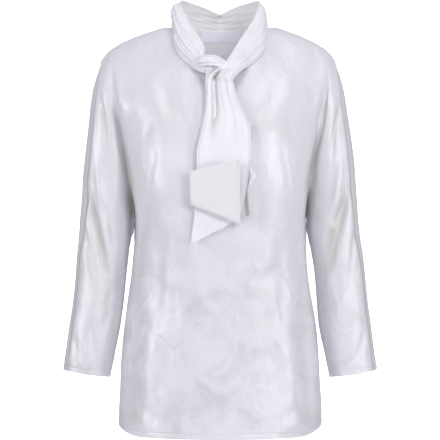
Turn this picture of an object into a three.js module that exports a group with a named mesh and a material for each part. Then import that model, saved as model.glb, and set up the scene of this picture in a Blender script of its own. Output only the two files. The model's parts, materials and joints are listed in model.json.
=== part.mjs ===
// A satin blouse with kimono sleeves and a scarf collar tied in front, hanging in its worn form.
// Millimetres. +Z is up, the front faces -Y, and the origin is the middle of the neck base,
// level with the two points where the shoulder seams meet the collar.
// Every cloth piece is a closed wall: an outer sheet, the same sheet moved inwards, and a rim.
import * as THREE from "three";
import { mergeVertices } from "three/addons/utils/BufferGeometryUtils.js";

// Driving dimensions
const wall = 1.6; // body cloth with its turned hems
const seamGap = 0.32; // between two panels at a seam
const sidePointY = 5; // the side seams and the underarm lie a little behind the middle
const armpitZ = -331;
const frontHemZ = -707;
const backHemZ = -739;
const sideHemZ = -690;
const shoulderLean = 3; // both shoulders sit this far towards -X
const bodySteps = { torso: 10, sleeve: 8, upper: 11, skirt: 10, arm: 11 };

// Shoulder seam and neckline, from the centre to the shoulder tip. Columns 3 to 9 are the seam.
const shoulderSeam = [
  { x: 86, y: -2, z: -2 },
  { x: 128, y: 0, z: -10 },
  { x: 166, y: 1, z: -26 },
  { x: 180, y: 1, z: -34 },
  { x: 190, y: 0, z: -41 },
  { x: 198, y: -1, z: -50 },
  { x: 205, y: -2, z: -60 },
];
const frontNeck = [
  { x: 0, y: -84, z: -103 },
  { x: 52, y: -72, z: -75 },
  { x: 77, y: -46, z: -46 },
];
const backNeck = [
  { x: 0, y: 66, z: 0 },
  { x: 36, y: 61, z: 1 },
  { x: 66, y: 36, z: 1 },
];

// Seam down the outside of the arm, at the levels of the rows below
const overarm = [
  { x: 218.5, y: -8, z: -110 },
  { x: 229, y: -14, z: -182 },
  { x: 236, y: -16, z: -268 },
  { x: 242, y: -18, z: -358 },
];

// Rows across half of each panel, from the centre line to the sleeve: x and y of each column.
// Column 4 is the fold where the body lies over the sleeve, column 5 the bottom of that fold.
const frontRows = [
  { z: -132, cx: [0, 46, 92, 132, 166, 183, 194, 205, 213],
    cy: [-99, -98, -90, -74, -56, -45, -42, -34, -22] },
  { z: -190, cx: [0, 46, 94, 134, 163, 172, 184, 204, 221],
    cy: [-119, -119, -115, -90, -60, -36, -44, -42, -30] },
  { z: -268, cx: [0, 44, 92, 128, 152, 158, 172, 197, 224],
    cy: [-127, -128, -125, -101, -62, -22, -38, -43, -34] },
  { z: armpitZ, cx: [0, 40, 82, 116, 141, 151, 165, 194, 226],
    cy: [-124, -124, -117, -93, -52, sidePointY, -28, -43, -37] },
];
const backRows = [
  { z: -120, cx: [0, 46, 92, 134, 166, 183, 195, 207, 215.5],
    cy: [92, 93, 88, 74, 58, 48, 44, 34, 14] },
  { z: -190, cx: [0, 46, 94, 134, 162, 172, 186, 208, 228],
    cy: [98, 99, 94, 78, 56, 38, 45, 43, 22] },
  { z: -268, cx: [0, 44, 90, 126, 150, 158, 174, 202, 235],
    cy: [97, 97, 92, 76, 50, 24, 42, 50, 26] },
  { z: armpitZ, cx: [0, 40, 82, 116, 141, 151, 163, 196, 239],
    cy: [94, 94, 86, 68, 40, sidePointY, 36, 58, 28] },
];

// Body below the armpit: half width and depths of each oval level
const skirtRows = [
  { z: -425, half: 154, front: 124, back: 95 },
  { z: -500, half: 164, front: 123, back: 99 },
  { z: -580, half: 172, front: 124, back: 104 },
  { z: -650, half: 177, front: 127, back: 109 },
  { z: frontHemZ, half: 178.5, front: 129, back: 112 },
];

// Sleeve below the armpit: each level is an oval square to the arm. seam turns the two seams forwards.
const sleeveRows = [
  { x: 208, y: 6, z: -424, rx: 45.5, ry: 49, seam: 24 },
  { x: 216, y: 3, z: -500, rx: 45, ry: 47, seam: 28 },
  { x: 225, y: -2, z: -560, rx: 43.5, ry: 44, seam: 32 },
  { x: 232, y: -7, z: -604, rx: 42.5, ry: 41, seam: 35 },
];
const sleeveLean = 9; // degrees of the arm from the vertical

// Largest folds, as troughs in the sleeves and body: ends in x and z, half width and depth
const folds = [
  { face: "front", x0: 232, z0: -285, x1: 180, z1: -470, half: 10, depth: 6 },
  { face: "front", x0: 212, z0: -110, x1: 194, z1: -255, half: 7, depth: 3.5 },
  { face: "front", x0: 236, z0: -400, x1: 214, z1: -560, half: 9, depth: 3 },
  { face: "front", x0: 104, z0: -235, x1: 118, z1: -430, half: 14, depth: 3 },
  { face: "back", x0: 236, z0: -270, x1: 180, z1: -430, half: 11, depth: 5 },
  { face: "back", x0: 70, z0: -200, x1: 84, z1: -520, half: 18, depth: 4 },
];

// Collar: the folded edge at its top and how far it bulges, from the middle of the back to the side (3),
// the front (5) and the knot (7). foot is its lower edge where it has left the neckline.
const collarWall = 2.4;
const collarLeft = [
  { x: 0, y: 58, z: 29, bulge: 2 },
  { x: 30, y: 54, z: 42, bulge: 2 },
  { x: 54, y: 34, z: 50, bulge: 3 },
  { x: 66, y: 2, z: 47, bulge: 5 },
  { x: 52, y: -39, z: 4, bulge: 8 },
  { x: 29, y: -79, z: -37, bulge: 9 },
  { x: 26, y: -90, z: -61, bulge: 2, foot: { x: 33, y: -90, z: -88 } },
  { x: 12, y: -99, z: -66, bulge: 2, foot: { x: 14, y: -100, z: -84 } },
];
const collarRight = [
  { x: 0, y: 58, z: 29, bulge: 2 },
  { x: 26, y: 54, z: 41, bulge: 2 },
  { x: 50, y: 34, z: 48, bulge: 3 },
  { x: 63, y: 2, z: 44, bulge: 5 },
  { x: 55, y: -37, z: 6, bulge: 8 },
  { x: 34, y: -74, z: -31, bulge: 9 },
  { x: 15, y: -91, z: -62, bulge: 2, foot: { x: 24, y: -90, z: -91 } },
  { x: 2, y: -100, z: -66, bulge: 2, foot: { x: 6, y: -101, z: -84 } },
];

// Knot: the middle line of its hood, from its top rim behind to its lower lip
const knotMiddle = -7.6;
const knotHalf = 27;
const knotRimY = -98.5;
const knotLine = [
  { y: -96, z: -62, wide: 0.84 },
  { y: -113, z: -59, wide: 0.94 },
  { y: -125, z: -69, wide: 1 },
  { y: -128, z: -85, wide: 0.96 },
  { y: -123, z: -102, wide: 0.9 },
];

// Tie ends: left and right edge of each row down the cloth. The front one turns up again at its fold.
const tieWall = 1.4;
const frontTieRows = [
  { xl: -15, zl: -89, xr: 7, zr: -89, y: -111 },
  { xl: -18.5, zl: -99, xr: 11.5, zr: -99, y: -112.5 },
  { xl: -21, zl: -128, xr: 28.6, zr: -131, y: -117 },
  { xl: -24, zl: -158, xr: 42, zr: -162, y: -122.5 },
  { xl: -32.5, zl: -196, xr: 50.3, zr: -187, y: -130 },
  { xl: -38.6, zl: -221, xr: 51.8, zr: -221, y: -134 },
  { xl: -39.6, zl: -253, xr: 49, zr: -253, y: -137.5 },
  { xl: -47.4, zl: -306, xr: 36, zr: -338, y: -141.5 },
  { xl: -48.8, zl: -309.8, xr: 34.6, zr: -341.6, y: -145.2 },
  { xl: -48.8, zl: -306, xr: 34, zr: -337.6, y: -148.8 },
  { xl: -50, zl: -285, xr: 33.6, zr: -290, y: -150.4 },
  { xl: -51, zl: -257, xr: 32.9, zr: -237, y: -152 },
];
const backTieRows = [
  { xl: -17, zl: -90, xr: 6, zr: -90, y: -102.5 },
  { xl: -24.6, zl: -99, xr: 14.3, zr: -99, y: -104.6 },
  { xl: -26, zl: -149, xr: 30, zr: -136, y: -113.5 },
  { xl: -35, zl: -195, xr: 50, zr: -194, y: -124.5 },
  { xl: -40, zl: -254, xr: 50, zr: -246, y: -131.5 },
  { xl: -42, zl: -318, xr: 48.5, zr: -274, y: -132.5 },
  { xl: -48.5, zl: -378, xr: 55, zr: -326, y: -131.5 },
];

const labelWidth = 73;
const labelHeight = 21;
const labelWall = 0.9;

const deg = Math.PI / 180;
const vec = (x, y, z) => new THREE.Vector3(x, y, z);
const mix = (a, b, t) => a + (b - a) * t;
const smooth = (t) => t * t * (3 - 2 * t);
const clamp01 = (t) => Math.min(1, Math.max(0, t));

// Smooth curve through points a, b, c, d, between b and c
function catmull(a, b, c, d, t) {
  const at = (k) =>
    0.5 *
    (2 * b[k] +
      (c[k] - a[k]) * t +
      (2 * a[k] - 5 * b[k] + 4 * c[k] - d[k]) * t * t +
      (3 * b[k] - a[k] - 3 * c[k] + d[k]) * t * t * t);
  return vec(at("x"), at("y"), at("z"));
}
const beyond = (p, q) => vec(2 * p.x - q.x, 2 * p.y - q.y, 2 * p.z - q.z);

// Point at place s along a list of points, with the points before and after its ends given or guessed
function along(points, s, before, after) {
  const i = Math.min(points.length - 2, Math.max(0, Math.floor(s)));
  const a = i > 0 ? points[i - 1] : before || beyond(points[0], points[1]);
  const last = points.length - 1;
  const d = i + 2 <= last ? points[i + 2] : after || beyond(points[last], points[last - 1]);
  return catmull(a, points[i], points[i + 1], d, s - i);
}

// A closed wall from a sheet: points, four-cornered faces, and for each point the way inwards
function wallSolid(points, faces, inwards) {
  const count = points.length;
  const position = [];
  for (const p of points) position.push(p.x, p.y, p.z);
  points.forEach((p, i) => position.push(p.x + inwards[i].x, p.y + inwards[i].y, p.z + inwards[i].z));
  const index = [];
  const edges = new Map();
  for (const f of faces) {
    const [a, b, c, d] = f;
    const flat = points[a].distanceTo(points[c]) <= points[b].distanceTo(points[d]);
    const halves = flat ? [[a, b, c], [a, c, d]] : [[a, b, d], [b, c, d]];
    for (const [p, q, r] of halves) {
      index.push(p, q, r);
      index.push(p + count, r + count, q + count);
    }
    f.forEach((p, k) => {
      const q = f[(k + 1) % f.length];
      const twin = q + "_" + p;
      if (edges.has(twin)) edges.delete(twin);
      else edges.set(p + "_" + q, [p, q]);
    });
  }
  for (const [p, q] of edges.values()) {
    index.push(q, p, p + count);
    index.push(q, p + count, q + count);
  }
  const geometry = new THREE.BufferGeometry();
  geometry.setAttribute("position", new THREE.Float32BufferAttribute(position, 3));
  geometry.setIndex(index);
  return mergeVertices(geometry, 1e-4);
}

// Outward direction at each point of a sheet, from its faces
function outward(points, faces) {
  const normals = points.map(() => vec(0, 0, 0));
  for (const [a, b, c, d] of faces) {
    const across = points[c].clone().sub(points[a]);
    const up = points[d].clone().sub(points[b]);
    const n = across.cross(up);
    for (const k of [a, b, c, d]) normals[k].add(n);
  }
  return normals.map((n) => n.normalize());
}

// Control points of the body, for one half of one panel
function bodyControls(face) {
  const front = face === "front";
  const sign = front ? -1 : 1;
  const neck = front ? frontNeck : backNeck;
  const upper = [[...neck, ...shoulderSeam].map((p) => vec(p.x, p.y, p.z))];
  (front ? frontRows : backRows).forEach((row, r) => {
    const seam = overarm[r];
    const points = row.cx.map((x, k) => vec(x, row.cy[k], mix(row.z, seam.z, smooth(x / seam.x))));
    points.push(vec(seam.x, seam.y, seam.z));
    if (row.z === armpitZ) points[5].z = armpitZ;
    upper.push(points);
  });
  const skirt = skirtRows.map((row) => {
    const depth = front ? row.front + sidePointY : row.back - sidePointY;
    return [0, 16, 34, 54, 73, 90].map((angle) => {
      const across = Math.sin(angle * deg);
      const frontRise = Math.pow(clamp01((across - 0.66) / 0.34), 4);
      const rise = front ? frontRise : smooth(clamp01((across - 0.1) / 0.9));
      const hem = mix(front ? frontHemZ : backHemZ, sideHemZ, rise);
      const out = depth * Math.pow(Math.cos(angle * deg), 0.86);
      return vec(row.half * across, sidePointY + sign * out, row.z === frontHemZ ? hem : row.z);
    });
  });
  const lean = sleeveLean * deg;
  const arm = sleeveRows.map((row) => {
    const turns = front ? [180, 141, 100, 56, 0] : [180, 219, 262, 310, 360];
    return turns.map((turn, k) => {
      const angle = (turn + mix(-8, row.seam, k / 4)) * deg;
      const across = row.rx * Math.cos(angle);
      const y = row.y - row.ry * Math.sin(angle);
      return vec(row.x + across * Math.cos(lean), y, row.z + across * Math.sin(lean));
    });
  });
  return { upper, skirt, arm };
}

const controls = { front: bodyControls("front"), back: bodyControls("back") };

// Point of the body's outer sheet, u across (5 is the side) and v down (4 is the armpit), with
// inArm for the sleeve's side of the armpit. The rows of the other panel make it roll over the seams.
function bodyPoint(face, inArm, u, v) {
  const own = controls[face];
  const other = controls[face === "front" ? "back" : "front"];
  const mirrored = (row) => vec(-row[1].x, row[1].y, row[1].z);
  const past = (r) => (r > 0 ? other.upper[r][8] : undefined);
  const upper = own.upper.map((row, r) => along(row, u, mirrored(row), past(r)));
  const lower = inArm
    ? own.arm.map((row, r) => along(row, u - 5, other.arm[r][1], other.arm[r][3]))
    : own.skirt.map((row, r) => along(row, u, mirrored(row), other.skirt[r][4]));
  const before = u >= 3 ? along(other.upper[1], u) : undefined;
  return along([...upper, ...lower], v, before);
}

// Troughs of the folds at a point, positive inwards
function foldDepth(face, p) {
  let depth = 0;
  for (const f of folds) {
    if (f.face !== face) continue;
    const dx = f.x1 - f.x0;
    const dz = f.z1 - f.z0;
    const long = Math.hypot(dx, dz);
    const t = ((Math.abs(p.x) - f.x0) * dx + (p.z - f.z0) * dz) / (long * long);
    const off = ((Math.abs(p.x) - f.x0) * dz - (p.z - f.z0) * dx) / long;
    const ends = smooth(clamp01(t * 3 + 0.4)) * smooth(clamp01((1 - t) * 3 + 0.4));
    depth += f.depth * ends * Math.exp(-(off * off) / (f.half * f.half));
  }
  return depth;
}

// The whole body as one sheet with shared seam points, so that it bends smoothly across the seams
function bodySheet() {
  const points = [];
  const names = new Map();
  const seams = new Set();
  const faces = { front: [], back_left: [], back_right: [] };
  const { torso, sleeve, upper, skirt, arm } = bodySteps;
  const rows = { upper, skirt, arm };
  const start = { upper: 0, skirt: 4, arm: 4 };
  const length = { upper: 4, skirt: skirtRows.length, arm: sleeveRows.length };
  const pointAt = (face, part, i, j) => {
    const n = Math.abs(i);
    const u = n <= torso ? (5 * n) / torso : 5 + (4 * (n - torso)) / sleeve;
    const shoulder = part === "upper" && j === 0 && u >= 3;
    const side = n === torso && (part !== "upper" || j === upper);
    const seam = shoulder || side || n === torso + sleeve;
    const where = part !== "upper" && j === 0 ? "upper" + upper : part + j;
    const name = (seam ? "seam" : face) + where + "_" + i;
    if (!names.has(name)) {
      const v = start[part] + (length[part] * j) / rows[part];
      const p = bodyPoint(face, part === "arm" || u > 5, u, v);
      p.x *= Math.sign(i);
      p.x -= shoulderLean * smooth(clamp01((Math.abs(p.x) - 90) / 90)) * smooth(clamp01((p.z + 330) / 230));
      names.set(name, points.length);
      if (seam) seams.add(points.length);
      points.push(p);
    }
    return names.get(name);
  };
  const addCell = (face, part, i, j) => {
    const steps = [[0, 0], [0, 1], [1, 1], [1, 0]];
    const corners = steps.map(([right, down]) => pointAt(face, part, i + right, j + down));
    if (face === "front") faces.front.push(corners);
    else faces[i < 0 ? "back_left" : "back_right"].push(corners.reverse());
  };
  for (const face of ["front", "back"]) {
    for (let i = -torso - sleeve; i < torso + sleeve; i++) {
      const below = i >= -torso && i < torso ? "skirt" : "arm";
      for (let j = 0; j < upper; j++) addCell(face, "upper", i, j);
      for (let j = 0; j < rows[below]; j++) addCell(face, below, i, j);
    }
  }
  return { points, faces, seams };
}

// Front and the two back halves, each drawn back from its seams by half the gap
function bodySolids() {
  const { points, faces, seams } = bodySheet();
  const every = [...faces.front, ...faces.back_left, ...faces.back_right];
  const normals = outward(points, every);
  points.forEach((p, i) => {
    if (seams.has(i)) return;
    const face = normals[i].y < 0 ? "front" : "back";
    p.addScaledVector(normals[i], -foldDepth(face, p));
  });
  const level = outward(points, every);
  const solids = {};
  for (const [name, list] of Object.entries(faces)) {
    const used = [...new Set(list.flat())];
    const place = new Map(used.map((p, k) => [p, k]));
    const own = used.map((p) => points[p].clone());
    const inwards = used.map((p) => level[p].clone().multiplyScalar(-wall));
    const middles = used.map(() => ({ sum: vec(0, 0, 0), n: 0 }));
    for (const f of list) {
      const centre = f.reduce((s, p) => s.add(points[p]), vec(0, 0, 0)).multiplyScalar(1 / f.length);
      for (const p of f) {
        middles[place.get(p)].sum.add(centre);
        middles[place.get(p)].n += 1;
      }
    }
    used.forEach((p, k) => {
      const centreBack = name !== "front" && Math.abs(points[p].x) < 1e-6;
      if (!seams.has(p) && !centreBack) return;
      const away = middles[k].sum.multiplyScalar(1 / middles[k].n).sub(points[p]);
      away.addScaledVector(level[p], -away.dot(level[p])).normalize();
      if (centreBack) away.set(name === "back_left" ? -1 : 1, 0, 0);
      own[k].addScaledVector(away, seamGap / 2);
    });
    solids[name] = wallSolid(own, list.map((f) => f.map((p) => place.get(p))), inwards);
  }
  return solids;
}

// A wall from a grid: at(a, b) gives its points, a across and b down, each from 0 to 1
function gridSolid(across, down, at, thickness) {
  const points = [];
  const faces = [];
  for (let j = 0; j <= down; j++) {
    for (let i = 0; i <= across; i++) points.push(at(i / across, j / down));
  }
  const row = across + 1;
  for (let j = 0; j < down; j++) {
    for (let i = 0; i < across; i++) {
      const a = j * row + i;
      faces.push([a, a + row, a + row + 1, a + 1]);
    }
  }
  const inwards = outward(points, faces).map((n) => n.multiplyScalar(-thickness));
  return wallSolid(points, faces, inwards);
}

// One half of the collar, from the middle of the back round the neck and in under the knot
function collarHalf(side) {
  const table = side < 0 ? collarLeft : collarRight;
  const tops = table.map((c) => vec(c.x, c.y, c.z));
  const stops = [];
  for (let q = 0; q <= 5.01; q += 0.5) stops.push(q);
  stops.push(5.4, 5.7, 6, 6.4, 7);
  const neckline = (q) => bodyPoint(q <= 3 ? "back" : "front", false, q <= 3 ? q : 6 - q, 0);
  const feet = [neckline(4), neckline(5), ...table.slice(6).map((c) => vec(c.foot.x, c.foot.y, c.foot.z))];
  const point = (q, t) => {
    const top = along(tops, q, q < 1 ? vec(-tops[1].x, tops[1].y, tops[1].z) : undefined);
    const foot = q <= 5 ? neckline(q) : along(feet, q - 4);
    const rise = top.clone().sub(foot);
    foot.addScaledVector(rise.clone().normalize(), 0.9);
    foot.y -= 3 * smooth(clamp01((q - 5) / 0.4));
    const ahead = along(tops, Math.min(7, q + 0.3));
    const behind = along(tops, Math.max(0, q - 0.3));
    const out = ahead.sub(behind).cross(rise).normalize().multiplyScalar(-1);
    const k = Math.min(6, Math.floor(q));
    const bulge = mix(table[k].bulge, table[k + 1].bulge, q - k);
    const pleats = 1.5 * smooth(clamp01((q - 1.5) / 2)) * Math.sin(6 * Math.PI * t);
    const p = foot.lerp(top, t).addScaledVector(out, bulge * Math.sin(Math.PI * Math.pow(t, 0.8)) + pleats);
    if (q === 0) p.x = seamGap / 2;
    p.x *= side;
    return p;
  };
  const across = stops.length - 1;
  const rows = 12;
  return gridSolid(
    across,
    rows,
    (a, b) => point(stops[Math.round((side < 0 ? a : 1 - a) * across)], 1 - b),
    collarWall,
  );
}

// The knot is a hood of cloth: the collar ends run in behind its sides and the tie ends come out below
function knotHood() {
  const line = knotLine.map((p) => vec(p.wide, p.y, p.z));
  return gridSolid(
    12,
    12,
    (a, b) => {
      const p = along(line, b * 4);
      const turn = (a * 2 - 1) * 84 * deg;
      const wrap = 1.6 * Math.sin(4 * Math.PI * (b - 0.18 * a)) * Math.cos(turn);
      const y = mix(knotRimY, p.y - wrap, Math.pow(Math.cos(turn), 0.55));
      return vec(knotMiddle + knotHalf * p.x * Math.sin(turn), y, p.z);
    },
    2,
  );
}

function tieEnd(rows, down, across, pleat) {
  const left = rows.map((r) => vec(r.xl, r.y, r.zl));
  const right = rows.map((r) => vec(r.xr, r.y, r.zr));
  return gridSolid(
    across,
    down,
    (a, b) => {
      const s = b * (rows.length - 1);
      const p = along(left, s).lerp(along(right, s), a);
      p.y += pleat(a, s);
      return p;
    },
    tieWall,
  );
}
const wave = (a, trough, length) => Math.cos((2 * Math.PI * (a - trough)) / length);
const frontPleats = (a, s) => 4.2 * Math.pow(clamp01(1 - s / 6), 2) * wave(a, 0.2, 0.42);
const backPleats = (a, s) => 1.6 * clamp01(1 - s / 4) * wave(a, 0.5, 0.5);

// Blank woven label sewn inside the back neck, on the panels' inner face
function neckLabel() {
  const inside = wall + labelWall + 1.6;
  return gridSolid(
    8,
    2,
    (a, b) => {
      const x = (a - 0.5) * labelWidth + 1.5;
      const u = Math.abs(x) / 35;
      const p = bodyPoint("back", false, u, 0.05 + b * 0.17);
      const top = bodyPoint("back", false, u, 0);
      return vec(x, mix(top.y, p.y, 0.9) - inside, -1.5 - b * (labelHeight - 1.5));
    },
    labelWall,
  );
}

const satin = new THREE.MeshStandardMaterial({ color: "#eeedf1", roughness: 0.42, metalness: 0 });
const tieSatin = new THREE.MeshStandardMaterial({ color: "#f0eff3", roughness: 0.4, metalness: 0 });
const woven = new THREE.MeshStandardMaterial({ color: "#dcdae6", roughness: 0.7, metalness: 0 });

const blouse = new THREE.Group();
blouse.name = "blouse";
function add(name, geometry, material) {
  const mesh = new THREE.Mesh(geometry, material);
  mesh.name = name;
  blouse.add(mesh);
}

for (const [name, geometry] of Object.entries(bodySolids())) add(name, geometry, satin);
add("collar_left", collarHalf(-1), tieSatin);
add("collar_right", collarHalf(1), tieSatin);
add("knot", knotHood(), tieSatin);
add("tie_front", tieEnd(frontTieRows, 26, 10, frontPleats), tieSatin);
add("tie_back", tieEnd(backTieRows, 12, 6, backPleats), tieSatin);
add("label", neckLabel(), woven);

export default blouse;
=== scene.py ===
import itertools
import json
import math

import bpy
import numpy as np
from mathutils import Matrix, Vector

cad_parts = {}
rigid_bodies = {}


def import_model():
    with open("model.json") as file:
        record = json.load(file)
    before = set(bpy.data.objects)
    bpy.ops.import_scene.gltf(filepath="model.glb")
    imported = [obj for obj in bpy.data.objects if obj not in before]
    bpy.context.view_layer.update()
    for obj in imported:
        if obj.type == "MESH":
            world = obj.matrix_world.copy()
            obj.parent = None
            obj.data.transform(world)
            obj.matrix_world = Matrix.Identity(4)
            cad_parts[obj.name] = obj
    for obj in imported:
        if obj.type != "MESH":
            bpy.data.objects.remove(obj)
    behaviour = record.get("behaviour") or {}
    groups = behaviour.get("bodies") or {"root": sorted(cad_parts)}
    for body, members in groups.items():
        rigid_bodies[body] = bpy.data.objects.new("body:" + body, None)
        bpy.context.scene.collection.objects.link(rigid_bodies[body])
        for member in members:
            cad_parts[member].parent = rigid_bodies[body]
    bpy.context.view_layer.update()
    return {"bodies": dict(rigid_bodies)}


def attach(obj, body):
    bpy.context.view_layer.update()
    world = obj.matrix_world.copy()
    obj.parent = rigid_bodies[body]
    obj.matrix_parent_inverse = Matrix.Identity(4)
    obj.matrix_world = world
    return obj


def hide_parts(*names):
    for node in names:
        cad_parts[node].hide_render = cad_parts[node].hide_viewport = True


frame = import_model()
wholeBody = list(frame["bodies"])[0]

# All cloth below is in millimetres, the stage and the lights in metres. +Z is up, the front faces -Y, and the
# origin is the middle of the neck base.


# curves and sheets

def smooth(t):
    t = np.clip(t, 0, 1)
    return t * t * (3 - 2 * t)


def curveAt(points, places, before=None, after=None):
    # smooth curve through points (along axis 0), read at the given places
    p = np.asarray(points, float)
    first = 2 * p[0] - p[1] if before is None else before
    last = 2 * p[-1] - p[-2] if after is None else after
    ext = np.concatenate([[first], p, [last]])
    s = np.asarray(places, float)
    i = np.clip(np.floor(s).astype(int), 0, len(p) - 2)
    t = (s - i).reshape((-1,) + (1,) * (p.ndim - 1))
    a, b, c, d = ext[i], ext[i + 1], ext[i + 2], ext[i + 3]
    bend = (2 * a - 5 * b + 4 * c - d) * t * t
    return 0.5 * (2 * b + (c - a) * t + bend + (3 * b - a - 3 * c + d) * t ** 3)


def gridFaces(index):
    # four-cornered faces of a grid of point numbers, rows down and columns to the right
    return np.stack([index[:-1, :-1], index[1:, :-1], index[1:, 1:], index[:-1, 1:]], -1).reshape(-1, 4)


def outward(points, faces):
    a, b, c, d = (points[faces[:, k]] for k in range(4))
    n = np.cross(c - a, d - b)
    total = np.zeros_like(points)
    for k in range(4):
        np.add.at(total, faces[:, k], n)
    return total / np.maximum(np.linalg.norm(total, axis=1, keepdims=True), 1e-9)


def creaseDepth(x, z, creases):
    # sum of soft troughs (depth over 0) and ridges (under 0), each along a bent line in the front view
    depth = np.zeros_like(x)
    for c in creases:
        path = np.array(c["path"], float)
        legs = np.linalg.norm(np.diff(path, axis=0), axis=1)
        start = np.concatenate([[0], np.cumsum(legs)])
        best = np.full(x.shape, 1e9)
        off = np.zeros_like(x)
        place = np.zeros_like(x)
        for k, leg in enumerate(legs):
            d = (path[k + 1] - path[k]) / leg
            dx, dz = x - path[k, 0], z - path[k, 1]
            t = np.clip(dx * d[0] + dz * d[1], 0, leg)
            ex, ez = dx - t * d[0], dz - t * d[1]
            far = np.hypot(ex, ez)
            near = far < best
            best = np.where(near, far, best)
            off = np.where(near, far * np.sign(ex * d[1] - ez * d[0] + 1e-12), off)
            place = np.where(near, (start[k] + t) / start[-1], place)
        width = np.where(off > 0, c["wide"], c["wide"] * c.get("steep", 1))
        ends = smooth(place / c.get("fadeIn", 0.35)) * smooth((1 - place) / c.get("fadeOut", 0.45))
        depth += c["depth"] * ends * np.exp(-(off / width) ** 2)
    return depth


def addObject(name, points, faces):
    # a new object from points in metres, active and alone selected
    bpy.ops.object.select_all(action="DESELECT")
    mesh = bpy.data.meshes.new(name)
    mesh.from_pydata(np.asarray(points).tolist(), [], faces)
    mesh.update()
    obj = bpy.data.objects.new(name, mesh)
    bpy.context.collection.objects.link(obj)
    bpy.context.view_layer.objects.active = obj
    obj.select_set(True)
    return obj


def dress(obj, material, replaces):
    # its material, the body it rides on and the CAD nodes it stands for
    obj.data.materials.append(material)
    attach(obj, wholeBody)
    if replaces:
        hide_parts(*replaces)


def makeSheet(name, points, faces, thickness, material, replaces, paintedShade=None):
    # one cloth piece: its outer face in mm, thickened inwards; the last argument is its painted shade, 0 on
    # plain cloth, 1 deep in a crease
    obj = addObject(name, points.reshape(-1, 3) * 0.001, faces.tolist())
    depths = np.zeros(len(obj.data.vertices)) if paintedShade is None else np.clip(paintedShade.reshape(-1), 0, 1)
    # the painted shade is stored on the points, for the satin to darken them
    obj.data.attributes.new("paintedShade", "FLOAT", "POINT").data.foreach_set("value", depths)
    wall = obj.modifiers.new("cloth", "SOLIDIFY")
    wall.thickness = thickness * 0.001
    wall.offset = -1
    wall.use_even_offset = False
    bpy.ops.object.modifier_apply(modifier=wall.name)
    bpy.ops.object.shade_smooth_by_angle(angle=math.radians(70))
    dress(obj, material, replaces)
    return obj


def sheetArea(obj):
    # both faces of the cloth are counted, so half of them all
    return sum(p.area for p in obj.data.polygons) / 2


# materials

def linear(hexColor):
    values = [int(hexColor[k:k + 2], 16) / 255 for k in (1, 3, 5)]
    return tuple(v / 12.92 if v <= 0.04045 else ((v + 0.055) / 1.055) ** 2.4 for v in values) + (1,)


def addNode(tree, kind, settings=None, links=None):
    node = tree.nodes.new(kind)
    for key, value in (settings or {}).items():
        if key in node.inputs:
            node.inputs[key].default_value = value
        else:
            setattr(node, key, value)
    for key, source in (links or {}).items():
        tree.links.new(source, node.inputs[key])
    return node


def satinColor(tree, look, place):
    # painted shade: deep in folds, and wherever the shade attribute asks for it, the satin is coloured a
    # little warmer and darker
    paintedShade = addNode(tree, "ShaderNodeAttribute", {"attribute_name": "paintedShade"})
    tint = addNode(tree, "ShaderNodeMixRGB",
                   {"Color1": linear(look["color"]), "Color2": linear(look["deep"])},
                   {"Fac": paintedShade.outputs["Fac"]})
    if "cloudMm" not in look:
        return tint.outputs[0]
    # painted shade in cloudy patches where the satin is crumpled, mostly low on the body
    cloud = addNode(tree, "ShaderNodeTexNoise",
                    {"Scale": 1000 / look["cloudMm"], "Detail": 3.5, "Roughness": 0.6, "Distortion": 0.8},
                    {"Vector": place})
    shadePatch = addNode(tree, "ShaderNodeMapRange",
                    {"From Min": 0.46, "From Max": 0.68, "To Min": 0.35, "To Max": look["cloud"]},
                    {"Value": cloud.outputs[0]})
    height = addNode(tree, "ShaderNodeSeparateXYZ", None, {"Vector": place})
    # the painted shade of the patches grows towards the lower body
    top, full = look["cloudTopZ"], look["cloudFullZ"]
    low = addNode(tree, "ShaderNodeMapRange",
                  {"From Min": top, "From Max": full, "To Min": 0.1, "To Max": 1.0},
                  {"Value": height.outputs["Z"]})
    amount = addNode(tree, "ShaderNodeMath", {"operation": "MULTIPLY"})
    tree.links.new(shadePatch.outputs[0], amount.inputs[0])
    tree.links.new(low.outputs[0], amount.inputs[1])
    clouded = addNode(tree, "ShaderNodeMixRGB", {"Color2": linear(look["shadePatch"])},
                      {"Fac": amount.outputs[0], "Color1": tint.outputs[0]})
    return clouded.outputs[0]


def clothMaterial(name, look):
    material = bpy.data.materials.new(name)
    material.use_nodes = True
    tree = material.node_tree
    shader = tree.nodes["Principled BSDF"]
    place = addNode(tree, "ShaderNodeTexCoord").outputs["Object"]
    # light crumple of the cloth, longer down than across
    longer = addNode(tree, "ShaderNodeMapping", {"Scale": (1, 1, look["stretch"])}, {"Vector": place})
    pucker = addNode(tree, "ShaderNodeTexNoise",
                     {"Scale": 1000 / look["puckerMm"], "Detail": 2.5, "Roughness": 0.42, "Distortion": 0.6},
                     {"Vector": longer.outputs[0]})
    soft = addNode(tree, "ShaderNodeBump", {"Strength": 1.0, "Distance": look["puckerHigh"] * 0.001},
                   {"Height": pucker.outputs[0]})
    # real threads lie about 0.1 mm apart, too fine to show, so their grain is drawn several times coarser
    thread = addNode(tree, "ShaderNodeTexNoise", {"Scale": 1000 / look["threadMm"], "Detail": 2.0},
                     {"Vector": place})
    fine = addNode(tree, "ShaderNodeBump", {"Strength": look["thread"], "Distance": 0.0002},
                   {"Height": thread.outputs[0], "Normal": soft.outputs[0]})
    tree.links.new(fine.outputs[0], shader.inputs["Normal"])
    if "deep" in look:
        tree.links.new(satinColor(tree, look, place), shader.inputs["Base Color"])
    else:
        shader.inputs["Base Color"].default_value = linear(look["color"])
    shader.inputs["Roughness"].default_value = look["roughness"]
    shader.inputs["Specular IOR Level"].default_value = look["specular"]
    shader.inputs["IOR"].default_value = look["ior"]
    shader.inputs["Sheen Weight"].default_value = look["sheen"]
    shader.inputs["Sheen Roughness"].default_value = 0.4
    return material
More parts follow.
